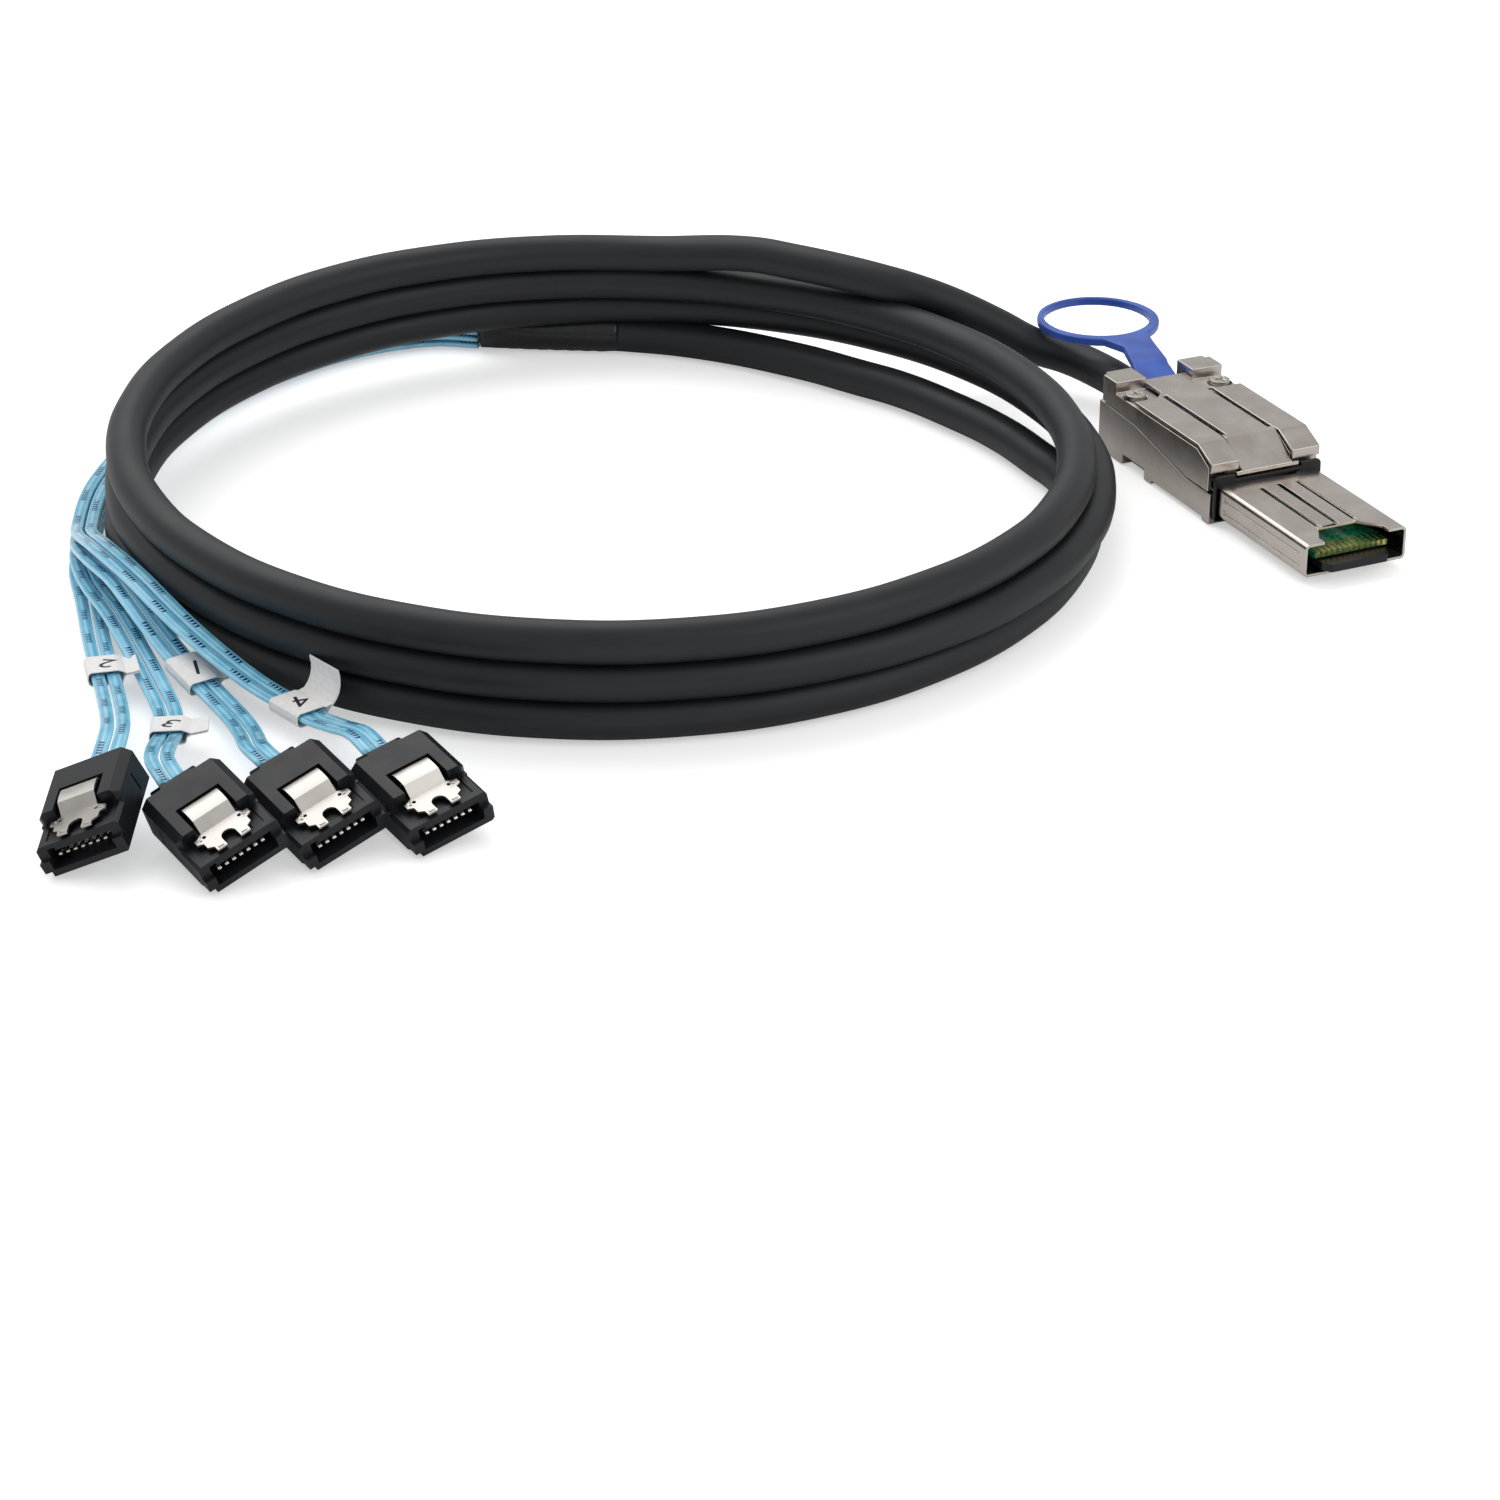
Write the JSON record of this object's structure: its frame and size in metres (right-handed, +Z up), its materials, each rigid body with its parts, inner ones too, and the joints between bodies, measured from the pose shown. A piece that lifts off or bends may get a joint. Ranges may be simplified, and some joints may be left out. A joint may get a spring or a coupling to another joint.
{
  "type": "mini sas breakout cable",
  "caption": "Coiled round black cable from a plated plug with a blue pull ring to small black drive plugs on flat blue ribbons.",
  "frame": {"origin": "centre of the plugs' box, on the surface that the cable lies on", "axes": "+Z up from that surface; +X runs from the drive plugs towards the large plug; +Y away from the viewer"},
  "size_m": [0.2339, 0.2297, 0.028],
  "materials": {
    "plating": "satin nickel plating",
    "steel": "bright",
    "card": "green resist",
    "contact_gold": "gold plating",
    "black_plastic": "fine satin",
    "blue_plastic": "soft gloss",
    "jacket": "satin",
    "boot": "satin shrink sleeve",
    "ribbon_film": "smooth",
    "label_paper": "matte"
  },
  "bodies": {
    "assembly": {"lower_shell": "plating", "upper_shell": "plating", "cover_plate": "plating", "nose_shell": "plating", "paddle_card": "card", "insulator_tongue": "black_plastic", "gasket_frame": "black_plastic", "clamp_ferrule": "plating", "screw_left": "steel", "screw_right": "steel", "cable_lead": "jacket", "cable_coil": "jacket", "cable_tail": "jacket", "shrink_boot": "boot", "drive_housing_1": "black_plastic", "drive_contacts_1": "contact_gold", "drive_relief_1": "black_plastic", "ribbon_1a": "ribbon_film", "ribbon_1b": "ribbon_film", "label_1": "label_paper", "drive_housing_2": "black_plastic", "drive_contacts_2": "contact_gold", "drive_relief_2": "black_plastic", "ribbon_2a": "ribbon_film", "ribbon_2b": "ribbon_film", "label_2": "label_paper", "drive_housing_3": "black_plastic", "drive_contacts_3": "contact_gold", "drive_relief_3": "black_plastic", "ribbon_3a": "ribbon_film", "ribbon_3b": "ribbon_film", "label_3": "label_paper", "drive_housing_4": "black_plastic", "drive_contacts_4": "contact_gold", "drive_relief_4": "black_plastic", "ribbon_4a": "ribbon_film", "ribbon_4b": "ribbon_film", "label_4": "label_paper"},
    "release": {"pull_tab": "blue_plastic", "latch_slider": "plating"},
    "latch_1": {"drive_latch_1": "steel"},
    "latch_2": {"drive_latch_2": "steel"},
    "latch_3": {"drive_latch_3": "steel"},
    "latch_4": {"drive_latch_4": "steel"}
  },
  "joints": [
    {"name": "pull_tab_slide", "type": "slide", "parent": "assembly", "child": "release", "axis": [-0.4195, 0.9078, 0], "range_m": [0, 0.002], "stiffness_N_per_m": 400},
    {"name": "latch_1_press", "type": "hinge", "parent": "assembly", "child": "latch_1", "pos_m": [-0.10371, -0.10129, 0.00763], "axis": [-0.911, 0.0885, -0.4028], "range_deg": [0, 2.2], "stiffness_Nm_per_rad": 0.08},
    {"name": "latch_2_press", "type": "hinge", "parent": "assembly", "child": "latch_2", "pos_m": [-0.07949, -0.10364, 0.00731], "axis": [-0.7882, -0.5138, -0.3387], "range_deg": [0, 2.2], "stiffness_Nm_per_rad": 0.08},
    {"name": "latch_3_press", "type": "hinge", "parent": "assembly", "child": "latch_3", "pos_m": [-0.06535, -0.09665, 0.00714], "axis": [-0.7947, -0.5242, -0.306], "range_deg": [0, 2.2], "stiffness_Nm_per_rad": 0.08},
    {"name": "latch_4_press", "type": "hinge", "parent": "assembly", "child": "latch_4", "pos_m": [-0.04952, -0.09176, 0.00658], "axis": [-0.8083, -0.5515, -0.2059], "range_deg": [0, 2.2], "stiffness_Nm_per_rad": 0.08}
  ]
}
